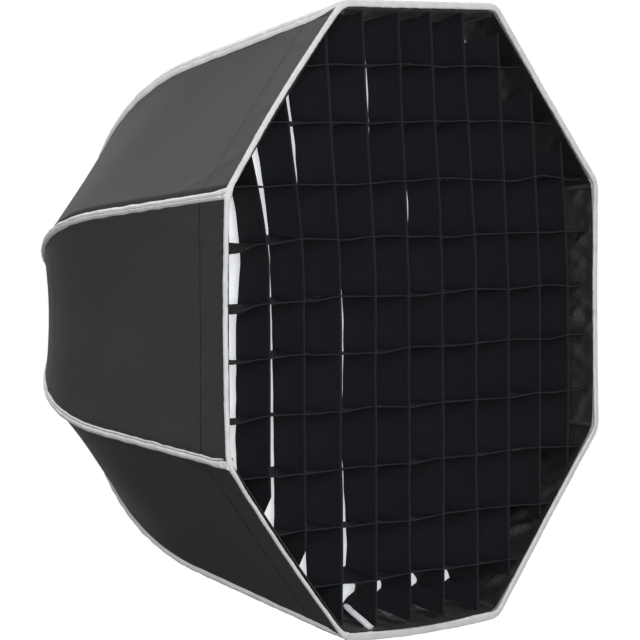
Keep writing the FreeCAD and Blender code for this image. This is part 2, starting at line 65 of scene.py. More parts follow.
# ---------------------------------------------------------------- sizes, in metres and radians
FRONT_Y = -0.3712          # plane of the front rim
FRONT_APOTHEM = 0.2772
FRONT_SLOPE = math.radians(14.7)
FRONT_RUN = 0.185
BEND_RADIUS = 0.274
TAIL_SLOPE = math.radians(60.0)
TAIL_APOTHEM = 0.084
HALF_STEP = math.radians(22.5)
SIDES = range(1, 9)
CLOTH = 1.0 * MM           # thickness of the shell's cloth
HEM_LINE = 0.0385          # of the shell's front hem, from the front edge
CREASE_LINE = 0.292        # of the fold at the bend
TAPE_GIRTH = 0.020         # once round a tape, in its UV map
SEAM_GROOVE = TAPE_GIRTH * 5.5 / 16

GRID_PITCH = 0.0504
GRID_COUNT = 10            # strips each way
GRID_RECESS = 0.004
GRID_HEIGHT = 0.036
DIFFUSER_DEPTH = 0.050
DIFFUSER_APOTHEM = 0.2620
DIFFUSER_CORNER = 0.2785

BEND_RUN = BEND_RADIUS * (TAIL_SLOPE - FRONT_SLOPE)


# ---------------------------------------------------------------- the shell's form
def rib_azimuth(k):
    """Azimuth of rib k, from +X towards +Z. Panel k has its middle half a step further on."""
    return HALF_STEP + (k - 1) * 2 * HALF_STEP


def radial(azimuth):
    return np.stack([np.cos(azimuth), np.zeros_like(azimuth), np.sin(azimuth)], -1)


def tangential(azimuth):
    return np.stack([-np.sin(azimuth), np.zeros_like(azimuth), np.cos(azimuth)], -1)


def profile(s):
    """Apothem, place along Y and slope of the shell, s metres from its front edge along a panel's middle."""
    s = np.asarray(s, float)
    turn = np.clip((s - FRONT_RUN) / BEND_RADIUS, 0, TAIL_SLOPE - FRONT_SLOPE)
    slope = FRONT_SLOPE + turn
    front = np.minimum(s, FRONT_RUN)
    tail = np.maximum(s - FRONT_RUN - BEND_RUN, 0)
    apothem = (
        FRONT_APOTHEM - front * math.sin(FRONT_SLOPE)
        - BEND_RADIUS * (math.cos(FRONT_SLOPE) - np.cos(slope)) - tail * math.sin(TAIL_SLOPE)
    )
    y = (
        FRONT_Y + front * math.cos(FRONT_SLOPE)
        + BEND_RADIUS * (np.sin(slope) - math.sin(FRONT_SLOPE)) + tail * math.cos(TAIL_SLOPE)
    )
    return apothem, y, slope


def shell_length():
    bend_end = profile(FRONT_RUN + BEND_RUN)[0]
    return float(FRONT_RUN + BEND_RUN + (bend_end - TAIL_APOTHEM) / math.sin(TAIL_SLOPE))


LENGTH = shell_length()


# how far each panel's front edge bows outwards, in millimetres
BOW = {1: 1.2, 2: 0.1, 3: 2.0, 4: 1.3, 5: 1.6, 6: 4.8, 7: 2.0, 8: 2.2}
# how wide each side's binding lies, as a ratio
RIM_WIDTH = {1: 1.25, 2: 1.05, 3: 0.8, 4: 0.72, 5: 0.52, 6: 1.3, 7: 1.3, 8: 1.42}


def corner_radius(s):
    """How round the shell is over a rib: wide in front, tight round the tail."""
    s = np.asarray(s, float)
    return 0.009 + 0.010 * (1 - smooth((s - 0.25) / 0.07)) + 0.003 * np.exp(-s / 0.025)


def ripple(seed, *coords):
    """A smooth value that wanders between about -1 and 1, with a wavelength of about 1 in each coordinate."""
    rng = np.random.RandomState(seed)
    total = 0.0
    for _ in range(7):
        way = rng.normal(size=len(coords))
        way *= rng.uniform(0.55, 1.5) / np.linalg.norm(way)
        total = total + np.sin(TAU * (sum(w * c for w, c in zip(way, coords)) + rng.uniform()))
    return total / 3.6


def smooth(x):
    x = np.clip(x, 0, 1)
    return x * x * (3 - 2 * x)


# ---------------------------------------------------------------- mesh making
def new_object(name, verts, faces, uvs, materials, indices=None, sharp=38.0):
    """A mesh object of closed cloth or tape. uvs has a pair for each vertex, in metres."""
    mesh = bpy.data.meshes.new(name)
    mesh.from_pydata([tuple(v) for v in verts], [], faces)
    for material in materials:
        mesh.materials.append(material)
    if indices is not None:
        mesh.polygons.foreach_set("material_index", indices)
    layer = mesh.uv_layers.new(name="cloth")
    corner = np.empty(len(mesh.loops), np.int64)
    mesh.loops.foreach_get("vertex_index", corner)
    layer.data.foreach_set("uv", np.asarray(uvs, np.float32)[corner].ravel())
    bm = bmesh.new()
    bm.from_mesh(mesh)
    bmesh.ops.delete(bm, geom=[v for v in bm.verts if not v.link_faces], context="VERTS")
    bmesh.ops.recalc_face_normals(bm, faces=bm.faces)
    bm.to_mesh(mesh)
    bm.free()
    mesh.shade_smooth()
    mesh.set_sharp_from_angle(angle=math.radians(sharp))
    made = bpy.data.objects.new(name, mesh)
    bpy.context.scene.collection.objects.link(made)
    return made


def cloth(name, top, bottom, uv, materials, gone=None):
    """A thin closed solid between two lattices of points, with walls round its edge and its holes."""
    rows, cols = top.shape[:2]
    count = rows * cols
    index = np.arange(count).reshape(rows, cols)
    keep = np.zeros((rows + 1, cols + 1), bool)
    keep[1:rows, 1:cols] = True if gone is None else ~gone
    faces, side = [], []
    for i, j in np.argwhere(keep[1:rows, 1:cols]):
        a, b, c, d = (int(n) for n in (index[i, j], index[i, j + 1], index[i + 1, j + 1], index[i + 1, j]))
        faces += [(a, b, c, d), (d + count, c + count, b + count, a + count)]
        side += [0, 1]
        near = (
            (keep[i, j + 1], b, a), (keep[i + 2, j + 1], d, c),
            (keep[i + 1, j], a, d), (keep[i + 1, j + 2], c, b),
        )
        for there, p, q in near:
            if not there:
                faces.append((p, q, q + count, p + count))
                side.append(0)
    verts = np.concatenate([top.reshape(-1, 3), bottom.reshape(-1, 3)])
    uvs = np.concatenate([uv.reshape(-1, 2)] * 2)
    return new_object(name, verts, faces, uvs, materials, side if len(materials) > 1 else None)


def weld(piece):
    """Joins the first and last points of a piece that closes on itself."""
    bm = bmesh.new()
    bm.from_mesh(piece.data)
    bmesh.ops.remove_doubles(bm, verts=bm.verts, dist=1e-6)
    bm.to_mesh(piece.data)
    bm.free()


def rounded(points, count):
    """A closed outline through a few points, as a smooth loop of count points."""
    points = np.asarray(points, float)
    n = len(points)
    t = np.arange(count) * n / count
    i = t.astype(int)
    f = (t - i)[:, None]
    p0, p1, p2, p3 = (points[(i + o) % n] for o in (-1, 0, 1, 2))
    return 0.5 * (
        2 * p1 + (p2 - p0) * f + (2 * p0 - 5 * p1 + 4 * p2 - p3) * f ** 2
        + (3 * p1 - p0 - 3 * p2 + p3) * f ** 3
    )


def sweep(name, centres, across, outward, sections, material):
    """A closed tape: sections[i] is its outline at centres[i], in metres along across[i] and outward[i].

    The first UV coordinate goes from 0 to TAPE_GIRTH once round the outline."""
    stations, count = sections.shape[:2]
    points = (
        centres[:, None, :] + sections[:, :, :1] * across[:, None, :]
        + sections[:, :, 1:] * outward[:, None, :]
    )
    around = np.arange(count) / count * TAPE_GIRTH
    along = np.linalg.norm(np.diff(centres, axis=0, prepend=centres[:1]), axis=1).cumsum()
    uvs = np.stack(np.broadcast_arrays(around[None, :], along[:, None]), -1)
    verts = points.reshape(-1, 3)
    faces = []
    for i in range(stations - 1):
        for j in range(count):
            a, b = i * count + j, i * count + (j + 1) % count
            faces.append((a, b, b + count, a + count))
    faces.append(tuple(range(count))[::-1])
    faces.append(tuple((stations - 1) * count + j for j in range(count)))
    return new_object(name, verts, faces, uvs.reshape(-1, 2), [material], sharp=60.0)


# ---------------------------------------------------------------- materials
class Look:
    """A procedural material: a Principled shader, fed by a few chained nodes."""

    def __init__(self, name, colour, roughness, **sockets):
        self.material = bpy.data.materials.new(name)
        self.material.use_nodes = True
        self.tree = self.material.node_tree
        self.shader = self.tree.nodes["Principled BSDF"]
        self.shader.inputs["Base Color"].default_value = (*colour, 1)
        self.shader.inputs["Roughness"].default_value = roughness
        for socket, value in sockets.items():
            self.shader.inputs[socket.replace("_", " ")].default_value = value
        self.colour = colour
        self.tint = None
        self.bump = None
        self.uv = None

    def node(self, kind, **settings):
        made = self.tree.nodes.new("ShaderNode" + kind)
        for key, value in settings.items():
            setattr(made, key, value)
        return made

    def link(self, source, target):
        self.tree.links.new(source, target)

    def math(self, operation, a, b=None):
        made = self.node("Math", operation=operation)
        for socket, value in zip(made.inputs, (a, b)):
            if isinstance(value, (int, float)):
                socket.default_value = value
            elif value is not None:
                self.link(value, socket)
        return made.outputs[0]

    def axes(self):
        """Both UV coordinates, in metres."""
        if self.uv is None:
            where = self.node("UVMap", uv_map="cloth")
            split = self.node("SeparateXYZ")
            self.link(where.outputs[0], split.inputs[0])
            self.uv = split.outputs[0], split.outputs[1]
        return self.uv

    def noise(self, size, detail=3.0, stretch=(1, 1, 1), roughness=0.5):
        """Noise with blobs of about the given size, fixed to the object."""
        place = self.node("TexCoord")
        mapping = self.node("Mapping")
        mapping.inputs["Scale"].default_value = stretch
        texture = self.node("TexNoise")
        texture.inputs["Scale"].default_value = 1 / size
        texture.inputs["Detail"].default_value = detail
        texture.inputs["Roughness"].default_value = roughness
        self.link(place.outputs["Object"], mapping.inputs[0])
        self.link(mapping.outputs[0], texture.inputs["Vector"])
        return texture.outputs[0]

    def mix_in(self, factor, colour):
        """Mixes one more colour over the base colour, by a factor from 0 to 1."""
        mix = self.node("Mix", data_type="RGBA")
        self.link(factor, mix.inputs["Factor"])
        mix.inputs[6].default_value = (*self.colour, 1)
        if self.tint is not None:
            self.link(self.tint, mix.inputs[6])
        mix.inputs[7].default_value = (*colour, 1)
        self.tint = mix.outputs[2]
        self.link(self.tint, self.shader.inputs["Base Color"])
        return self

    def mottle(self, size, colour, low=0.42, high=0.72, **more):
        """Soft patches of a second colour."""
        spread = self.node("MapRange")
        spread.inputs["From Min"].default_value = low
        spread.inputs["From Max"].default_value = high
        self.link(self.noise(size, **more), spread.inputs["Value"])
        return self.mix_in(spread.outputs[0], colour)

    def raise_by(self, height, distance, strength=1.0):
        """Adds a bump of height (0 to 1) times distance in metres."""
        bump = self.node("Bump")
        bump.inputs["Strength"].default_value = strength
        bump.inputs["Distance"].default_value = distance
        self.link(height, bump.inputs["Height"])
        if self.bump is not None:
            self.link(self.bump, bump.inputs["Normal"])
        self.bump = bump.outputs[0]
        self.link(self.bump, self.shader.inputs["Normal"])
        return self

    def waves(self, coordinate, pitch):
        """A sine of that pitch along a coordinate, from 0 to 1."""
        turn = self.math("SINE", self.math("MULTIPLY", coordinate, TAU / pitch))
        return self.math("ADD", self.math("MULTIPLY", turn, 0.5), 0.5)

    def weave(self, pitch, depth):
        """Plain-woven threads, over and under, in both UV directions."""
        u, v = self.axes()
        over = self.math("MULTIPLY", self.waves(u, pitch), self.waves(v, pitch * 2))
        under = self.math("MULTIPLY", self.waves(v, pitch), self.waves(u, pitch * 2))
        return self.raise_by(self.math("MAXIMUM", over, under), depth)

    def band(self, coordinate, centre, half_width):
        """1 inside a band of a coordinate, and 0 outside it."""
        off = self.math("ABSOLUTE", self.math("SUBTRACT", coordinate, centre))
        return self.math("LESS_THAN", off, half_width)

    def stitches(self, across, along, centre, colour, width=0.0004, pitch=0.003):
        """A row of thread dashes along one coordinate."""
        on = self.math("LESS_THAN", self.math("FRACT", self.math("DIVIDE", along, pitch)), 0.68)
        return self.mix_in(self.math("MULTIPLY", on, self.band(across, centre, width)), colour)

    def roughen(self, size, low, high, **more):
        """Roughness that varies in patches."""
        spread = self.node("MapRange")
        spread.inputs["To Min"].default_value = low
        spread.inputs["To Max"].default_value = high
        self.link(self.noise(size, **more), spread.inputs["Value"])
        self.link(spread.outputs[0], self.shader.inputs["Roughness"])
        return self


def black_nylon():
    look = Look("black_nylon", (0.0500, 0.0484, 0.0492), 0.56, Specular_IOR_Level=0.15)
    look.mottle(0.09, (0.0552, 0.0534, 0.0542), detail=2.0)
    u, v = look.axes()
    # painted shade: a near-black line, 1 mm wide, along the stitched hem stands in for the shade in its
    # groove; the stitch dashes over it are thread colour
    look.mix_in(look.band(v, HEM_LINE, 0.0005), (0.006, 0.006, 0.006))
    look.stitches(v, u, HEM_LINE, (0.03, 0.03, 0.03), width=0.0003)
    look.weave(0.0007, 0.00012)
    look.raise_by(look.noise(0.03, detail=4.0, roughness=0.6), 0.0012, 0.25)
    return look.material


def silver_lining():
    look = Look("silver_lining", (0.62, 0.63, 0.65), 0.38, Metallic=0.35, Specular_IOR_Level=0.5)
    look.mottle(0.02, (0.74, 0.75, 0.77), detail=3.0)
    look.weave(0.0012, 0.0002)
    look.raise_by(look.noise(0.012, detail=3.0), 0.0015, 0.3)
    return look.material


TAPE_COLOUR = (0.86, 0.865, 0.87)
# painted shade: the rim binding gets a darker copy of the tape colour, so the rim shows less light than the
# seam tapes
RIM_SHADED_COLOUR = (0.75, 0.755, 0.76)
TAPE_PATCH = 0.86          # how dark the tape's darker patches are, as a ratio
TAPE_RIB = 0.0011          # pitch of the ribs woven across a tape
TAPE_RIB_HEIGHT = 0.00016


def binding_tape(name="binding_tape", colour=RIM_SHADED_COLOUR):
    look = Look(name, colour, 0.72, Specular_IOR_Level=0.25, Sheen_Weight=0.25, Sheen_Roughness=0.5)
    look.mottle(0.012, tuple(c * TAPE_PATCH for c in colour), detail=4.0)
    look.raise_by(look.waves(look.axes()[1], TAPE_RIB), TAPE_RIB_HEIGHT)
    look.raise_by(look.noise(0.004, detail=3.0), 0.0008, 0.35)
    return look.material


def seam_tape():
    """Binding with a row of stitches in its groove, and painted shade along the groove."""
    look = Look("seam_tape", TAPE_COLOUR, 0.72, Specular_IOR_Level=0.25, Sheen_Weight=0.2,
                Sheen_Roughness=0.5)
    look.mottle(0.012, tuple(c * TAPE_PATCH for c in TAPE_COLOUR), detail=4.0)
    u, v = look.axes()
    # painted shade: the tape is darkened along its recessed stitched groove
    look.mix_in(look.math("MULTIPLY", look.band(u, SEAM_GROOVE, 0.0007), 0.45), (0.30, 0.30, 0.31))
    look.stitches(u, v, SEAM_GROOVE, (0.16, 0.16, 0.17), width=0.0005, pitch=0.0034)
    look.raise_by(look.waves(v, TAPE_RIB), TAPE_RIB_HEIGHT)
    look.raise_by(look.noise(0.004, detail=3.0), 0.0008, 0.35)
    return look.material


def grid_cloth():
    look = Look("grid_cloth", (0.0118, 0.0126, 0.0152), 0.66, Specular_IOR_Level=0.06)
    look.mottle(0.05, (0.0138, 0.0146, 0.0172), detail=3.0)
    u, v = look.axes()
    # painted highlight: the front 1.6 mm of each strip is lighter than the rest of the same cloth, standing
    # in for the light its front edge catches
    look.mix_in(look.math("LESS_THAN", v, 0.0016), (0.022, 0.023, 0.027))
    look.stitches(v, u, 0.0028, (0.016, 0.0165, 0.019), width=0.00025, pitch=0.0028)
    look.weave(0.0008, 0.00012)
    look.raise_by(look.noise(0.02, detail=3.0), 0.001, 0.3)
    return look.material


def band_cloth():
    """The shinier, wrinkled cloth of the grid's outer band."""
    look = Look("band_cloth", (0.0085, 0.0080, 0.0074), 0.44, Specular_IOR_Level=0.35, Sheen_Weight=0.05,
                Sheen_Roughness=0.4)
    look.mottle(0.04, (0.0125, 0.0118, 0.0110), detail=3.0)
    look.weave(0.0008, 0.00012)
    look.raise_by(look.noise(0.012, detail=4.0, roughness=0.6), 0.002, 0.5)
    return look.material


def diffuser_cloth_painted_glow():
    # The emission is painted light: the cloth glows to stand in for front light reaching it through the grid.
    # No lamp is inside.
    look = Look("diffuser_cloth_painted_glow", (0.86, 0.875, 0.89), 0.85, Specular_IOR_Level=0.2, Sheen_Weight=0.2,
                Emission_Color=(0.86, 0.88, 0.90, 1), Emission_Strength=0.48)
    look.mottle(0.03, (0.80, 0.815, 0.83), detail=3.0)
    look.weave(0.0007, 0.0001)
    look.raise_by(look.noise(0.03, detail=3.0), 0.002, 0.3)
    return look.material


def moulding(name, colour, roughness=0.5):
    """Spark-eroded moulded plastic."""
    look = Look(name, colour, roughness, Specular_IOR_Level=0.45)
    look.mottle(0.02, tuple(c * 1.25 + 0.003 for c in colour), detail=2.0)
    look.roughen(0.006, roughness - 0.08, roughness + 0.12, detail=2.0)
    look.raise_by(look.noise(0.0007, detail=2.0), 0.00005)
    return look.material


def metal(name, colour, roughness, stretch=(1, 1, 1), grain=0.0006):
    look = Look(name, colour, roughness, Metallic=1.0)
    look.mottle(0.01, tuple(c * 0.88 for c in colour), detail=3.0)
    look.roughen(0.003, roughness - 0.08, roughness + 0.12, stretch=stretch)
    look.raise_by(look.noise(grain, stretch=stretch), 0.00002)
    return look.material


def glass_fibre():
    look = Look("rod_fibre", (0.03, 0.03, 0.032), 0.34, Specular_IOR_Level=0.5, Coat_Weight=0.3,
                Coat_Roughness=0.2)
    look.mottle(0.008, (0.05, 0.05, 0.052), detail=4.0, stretch=(1, 0.1, 1))
    look.raise_by(look.noise(0.002, stretch=(1, 0.08, 1)), 0.00004)
    return look.material


# ---------------------------------------------------------------- outlines of the tapes, in millimetres
SEAM_OUTLINE = rounded(
    [(-3.9, -1.7), (-4.1, -0.4), (-3.4, 1.0), (-2.2, 2.0), (-1.1, 2.1), (-0.35, 1.2), (0.35, 1.2), (1.1, 2.1),
     (2.2, 2.0), (3.4, 1.0), (4.1, -0.4), (3.9, -1.7), (2.8, -2.0), (1.0, -1.2), (-1.0, -1.2), (-2.8, -2.0)],
    48) * MM
# the first number goes outwards from the cloth and the second towards the front
RIM_OUTLINE = rounded(
    [(0.9, -1.0), (1.45, -0.6), (1.5, 0.1), (1.3, 0.8), (0.7, 1.35), (-0.6, 1.6), (-2.2, 1.6), (-3.5, 1.4),
     (-4.4, 0.8), (-4.6, 0.0), (-4.3, -0.8), (-3.0, -1.2), (-1.6, -1.5), (-0.3, -1.5)], 48) * MM


MATERIALS = {
    "nylon": black_nylon(),
    "lining": silver_lining(),
    "tape": binding_tape(),
    "seam": seam_tape(),
    "grid": grid_cloth(),
    "band": band_cloth(),
    "diffuser": diffuser_cloth_painted_glow(),
    "tab": binding_tape("tab_webbing", (0.80, 0.80, 0.87)),
}


# ---------------------------------------------------------------- cloth panels
def rib_of(k, hand):
    """The rib that a half of panel k is sewn to."""
    return k if hand < 0 else k % len(SIDES) + 1


def half_name(k, hand):
    return f"{k}_{'a' if hand < 0 else 'b'}"


def columns_of(half_count=30, arc_count=5):
    """Places across half a panel: shares of its flat part from the middle out, closer together towards the
    rib, then shares of the turn over the rib."""
    flat = np.linspace(0, 1, half_count)
    flat = 1 - (1 - flat) ** 1.6
    return flat, np.linspace(0, 1, arc_count + 1)[1:]


# how deep a panel lies near the tail, and how far it tucks in under the tape after it, in millimetres
REAR_DIP = {3: 1.5, 4: 4.0}
USUAL_REAR_DIP = 3.0
TUCK = {3: 3.0}
# half the width of a usual seam tape at its foot, in millimetres
TAPE_HALF_WIDTH = 4.9
# how far each seam tape is sewn from its rib towards the next panel, in millimetres, how wide it is, as a
# ratio, and how far it tilts towards the panel before it, in degrees
SEAM_SHIFT = {3: 5.5, 4: 0.9, 5: 1.6, 6: -2.5}
SEAM_WIDTH = {3: 1.6, 4: 0.92, 5: 0.92}
SEAM_TILT = {3: -8, 5: 30}


def dip_at(k, s, share):
    """How far the cloth of panel k lies inside the straight line between its ribs."""
    rear = REAR_DIP.get(k, USUAL_REAR_DIP)
    depth = np.interp(s, [0, 0.012, 0.035, 0.10, 0.20, 0.30, LENGTH],
                      [-BOW[k], 0.6 - 0.8 * BOW[k], 0.4, 2.6, 3.4, rear, rear])
    return depth * MM * (1 - share ** 2)


def folds_at(k, s, w, half):
    """Creases and slack of panel k, outwards, at s from its front and w from its middle."""
    to_seam = half - np.abs(w)
    following = rib_of(k, 1)
    before = TAPE_HALF_WIDTH * SEAM_WIDTH.get(k, 1) + SEAM_SHIFT.get(k, 0)
    after = TAPE_HALF_WIDTH * SEAM_WIDTH.get(following, 1) - SEAM_SHIFT.get(following, 0)
    # grooves along the tapes' edges, and the tuck
    tape_edge = np.where(w < 0, before, after) * MM
    value = -0.9 * MM * np.exp(-((to_seam - tape_edge) / (1.1 * MM)) ** 2) * smooth(s / 0.012)
    tuck = np.where(w < 0, 0, TUCK.get(k, 0)) * MM
    value -= tuck * smooth((0.0105 - to_seam) / 0.006) * smooth(to_seam / 0.0035)
    # broad waves, then puckers at the seams and at the rim
    value += 0.45 * MM * ripple(40 + k, s / 0.13, w / 0.10) * smooth(to_seam / 0.03)
    value += 0.22 * MM * ripple(60 + k, s / 0.013, w / 0.05) * np.exp(-to_seam / 0.009)
    value += 0.35 * MM * ripple(80 + k, s / 0.05, w / 0.016) * np.exp(-s / 0.03)
    # the stitched hem and the slight ridge in front of it
    value -= 0.45 * MM * np.exp(-((s - HEM_LINE) / 0.0014) ** 2)
    value += 0.12 * MM * np.exp(-((s - 0.0350) / 0.0020) ** 2)
    # the fold at the bend, and a slanting fold that fades out behind the rim
    crease = CREASE_LINE + 0.004 * ripple(90 + k, w / 0.08, s * 0)
    value -= 0.5 * MM * np.exp(-((s - crease) / 0.0026) ** 2)
    slant = np.abs(w) - 0.55 * (s - 0.02)
    fade = smooth(s / 0.03) * smooth((0.11 - s) / 0.05)
    value += 0.5 * MM * np.exp(-((slant - half * 0.62) / 0.006) ** 2) * fade
    return value


def panel_points(k, hand, s, lift):
    """Points of half a panel. hand is -1 for the half on rib k and 1 for the half on the next rib."""
    flat, arc = columns_of()
    apothem, y, slope = profile(s)
    apothem = apothem + lift * np.cos(slope)
    y = y + lift * np.sin(slope)
    radius = corner_radius(s)
    half = apothem * math.tan(HALF_STEP)
    start = half - radius * math.tan(HALF_STEP)
    w = np.concatenate([start[:, None] * flat, start[:, None] + radius[:, None] * np.sin(arc * HALF_STEP)], 1)
    drop = np.concatenate([np.zeros((len(s), len(flat))), radius[:, None] * (1 - np.cos(arc * HALF_STEP))], 1)
    along = np.broadcast_to(s[:, None], w.shape)
    share = w / half[:, None]
    w = w * hand
    out = folds_at(k, along, w, half[:, None]) - dip_at(k, along, share) - drop
    back = BOW[k] * MM * (1 - share ** 2) * np.exp(-along / 0.03)
    middle = np.array(rib_azimuth(k) + HALF_STEP)
    points = (
        (apothem[:, None] + out * np.cos(slope)[:, None])[..., None] * radial(middle)
        + w[..., None] * tangential(middle)
        + (y[:, None] + out * np.sin(slope)[:, None] + back)[..., None] * REARWARD
    )
    return points, np.stack([w, along], -1)


def bend_with_panel(piece):
    """Bakes the piece's world transform into its mesh."""
    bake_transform(piece)


def make_half_panel(k, hand):
    """Half a cloth panel, lined with silver, with its flat width and length and its flat area."""
    s = np.concatenate([np.linspace(0, 0.05, 22)[:-1], np.linspace(0.05, LENGTH, 84)])
    top, uv = panel_points(k, hand, s, 0.0)
    bottom, _ = panel_points(k, hand, s, -CLOTH)
    both = [MATERIALS["nylon"], MATERIALS["lining"]]
    panel = cloth(f"cloth_panel_{half_name(k, hand)}", top, bottom, uv, both)
    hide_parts(f"shell_panel_{half_name(k, hand)}")
    bend_with_panel(panel)
    widths = profile(s)[0] * math.tan(HALF_STEP)
    area = float(np.sum((widths[1:] + widths[:-1]) / 2 * np.diff(s)))
    return panel, (float(widths[0]), LENGTH), area


# ---------------------------------------------------------------- tapes
# how far the stitched groove of each seam tape lies off its middle, in millimetres
GROOVE_SHIFT = {1: 0.4, 2: -0.6, 3: 0.5, 4: 0.8, 5: -1.6, 6: 0.3, 7: -0.7, 8: 0.6}


def make_seam_tape(k):
    """Binding sewn over a rib, from the rim round the bend to the tail."""
    s = np.concatenate([np.linspace(0.0, 0.05, 36)[:-1], np.linspace(0.05, LENGTH - 0.001, 150)])
    apothem, y, _ = profile(s)
    radius = corner_radius(s)
    rib = np.array(rib_azimuth(k))
    turn = SEAM_SHIFT.get(k, 0) * MM * smooth((s - 0.002) / 0.02) * smooth((LENGTH - s) / 0.06) / radius
    centres = (
        ((apothem - radius) / math.cos(HALF_STEP) + radius * np.cos(turn))[:, None] * radial(rib)
        + (radius * np.sin(turn))[:, None] * tangential(rib) + y[:, None] * REARWARD
    )
    run = np.gradient(centres, axis=0)
    run /= np.linalg.norm(run, axis=1)[:, None]
    across = tangential(rib + turn)
    outward = np.cross(run, across)
    outward *= np.sign(outward @ radial(rib))[:, None]
    across = np.cross(outward, run)
    across *= np.sign(across @ tangential(rib))[:, None]
    tilt = math.radians(SEAM_TILT.get(k, 0))
    across, outward = (
        across * math.cos(tilt) + outward * math.sin(tilt), outward * math.cos(tilt) - across * math.sin(tilt)
    )
    outline = SEAM_OUTLINE.copy()
    near = np.exp(-(outline[:, 0] / (2.6 * MM)) ** 2) * (outline[:, 1] > 0)
    outline[:, 0] += GROOVE_SHIFT[k] * MM * near
    sections = np.repeat(outline[None], len(s), 0)
    at_rim = np.exp(-(s / 0.013) ** 2)
    wide = 1 + 0.30 * at_rim + 0.05 * ripple(200 + k, s / 0.03)
    wide += (SEAM_WIDTH.get(k, 1) - 1) * smooth((s - 0.004) / 0.03)
    high = 1 - 0.25 * at_rim + 0.10 * ripple(220 + k, s / 0.02)
    # a lump where the tape bunches on the bend
    lump = np.exp(-((s - 0.262) / 0.006) ** 2)
    sections[:, :, 0] *= (wide + 0.06 * lump)[:, None]
    sections[:, :, 1] *= (high + 0.22 * lump)[:, None]
    side = np.sign(sections[:, :, 0])
    pucker = 0.20 * MM * ripple(240 + k, np.broadcast_to(s[:, None] / 0.008, side.shape), side * 3.3)
    sections[:, :, 1] += pucker * (sections[:, :, 1] > 0)
    sections[:, :, 0] += (0.25 * MM * ripple(260 + k, s / 0.035))[:, None]
    # a dimple where the tape is tacked down behind the rim
    dimple = np.exp(-((s - 0.0075) / 0.0022) ** 2)[:, None]
    dimple = dimple * np.exp(-((sections[:, :, 0] - 1.5 * MM) / (1.6 * MM)) ** 2)
    sections[:, :, 1] -= 1.4 * MM * dimple * (sections[:, :, 1] > 0)
    tape = sweep(f"seam_tape_{k}", centres, across, outward, sections, MATERIALS["seam"])
    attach(tape, f"rib_{k}")
    return tape


def make_rim_tape(k, hand):
    """Folded binding round the front edge, over half a side and the corner up to the rib."""
    radius = float(corner_radius(0.0))
    half = FRONT_APOTHEM * math.tan(HALF_STEP)
    start = half - radius * math.tan(HALF_STEP)
    flat = np.linspace(0, start, 60)
    turn = np.linspace(0, HALF_STEP, 10)[1:]
    w = np.concatenate([flat, start + radius * np.sin(turn)])
    drop = np.concatenate([flat * 0, radius * (1 - np.cos(turn))])
    angle = np.concatenate([flat * 0, turn]) * hand
    share = w / half
    bow = BOW[k] * MM * (1 - share ** 2)
    middle = rib_azimuth(k) + HALF_STEP
    signed = w * hand
    wander = 0.25 * MM * ripple(300 + k, signed / 0.05, share * 0) * (1 - share ** 6)
    base = (
        (FRONT_APOTHEM - drop + (bow + wander) * math.cos(FRONT_SLOPE))[:, None] * radial(np.array(middle))
        + signed[:, None] * tangential(np.array(middle))
        + (FRONT_Y + bow + bow * math.sin(FRONT_SLOPE))[:, None] * REARWARD
    )
    out = radial(middle + angle)
    outward = out * math.cos(FRONT_SLOPE) + REARWARD * math.sin(FRONT_SLOPE)
    forward = out * math.sin(FRONT_SLOPE) - REARWARD * math.cos(FRONT_SLOPE)
    sections = np.repeat(RIM_OUTLINE[None], len(w), 0)
    fatter = 1 + 0.05 * ripple(320 + k, signed / 0.02, share * 0) * (1 - share ** 6)
    fatter += 0.10 * smooth((share - 0.88) / 0.12)
    fatter *= 1 + (RIM_WIDTH[k] - 1) * (1 - share ** 10)
    sections[:, :, 0] *= fatter[:, None]
    place = np.broadcast_to((signed / 0.007)[:, None], sections.shape[:2])
    pucker = 0.16 * MM * ripple(340 + k, place, sections[:, :, 1] / 0.004)
    sections[:, :, 0] += pucker * np.sign(sections[:, :, 0] + 1.2 * MM)
    tape = sweep(f"rim_tape_{half_name(k, hand)}", base, outward, forward, sections, MATERIALS["tape"])
    bend_with_panel(tape)
    return tape


# ---------------------------------------------------------------- grid
LINES = (np.arange(GRID_COUNT) - (GRID_COUNT - 1) / 2) * GRID_PITCH
BAND_FRONT = 0.2716
BAND_REAR = 0.2620
BAND_START = 0.0020
# all in millimetres: how far each upright strip stands to the right of its line, how far its head
# leans to the left, how much further right its rear edge is in each of the eleven rows of cells from the
# top, and how far its rear edge swings out just above its foot
UPRIGHT_SHIFT = [13.3, 11.7, 13.5, 13.5, 13, 13.5, 14.5, 14.5, 14, 9]
LEAN = [23, 23.5, 17, 12.5, 10, 13.5, 15.5, 9.5, 8, 6]
REAR_SLACK = [
    [0, 2, 5, 9, 6.2, -0.6, -0.8, -2.0, 1.0, 1, 0],
    [-6, -6, -2, 0, -1.2, 0.6, 1.5, 2.2, 2.6, 1.5, 0],
    [-10, -12, -6.5, -8, -6, -5.5, -5.5, -5.5, -5.5, -5, -3],
    [-9, -8, -6.5, -6.5, -4.8, 0.5, -0.5, -4, 0, 4, -2],
    [-5, -1.2, -2.8, -3.5, -4, -4, -3.5, -1, -3.5, -3.5, -2],
    [-5, -1.5, -3.4, 1.5, -3.5, -4, -4, -4, -4, -4, -2],
    [-3, -3, -3, -3, -3.5, -3, -2.5, -3, -3.5, -3, -2],
    [-5.5, -4.5, -1.5, -1.5, -1, -2, -1.5, -1, -1.5, -2, -1],
    [-4.5, -4.5, -3, -1.5, -1, -1, -1.5, -1, -0.5, -1, 0],
    [0, 0, 1, -1, 0, 1, -1, 0, 0, 0, 0],
]
FOOT_HEIGHTS = [-252, -245, -242.5, -236, -230, -228]
FOOT_SWING = {3: [0, 8, 17, 16, 11, 0], 4: [0, 0, 9, 5, 0, 0], 5: [0, 0, 12, 7, 0, 0], 6: [0, 0, 9, 5, 0, 0]}
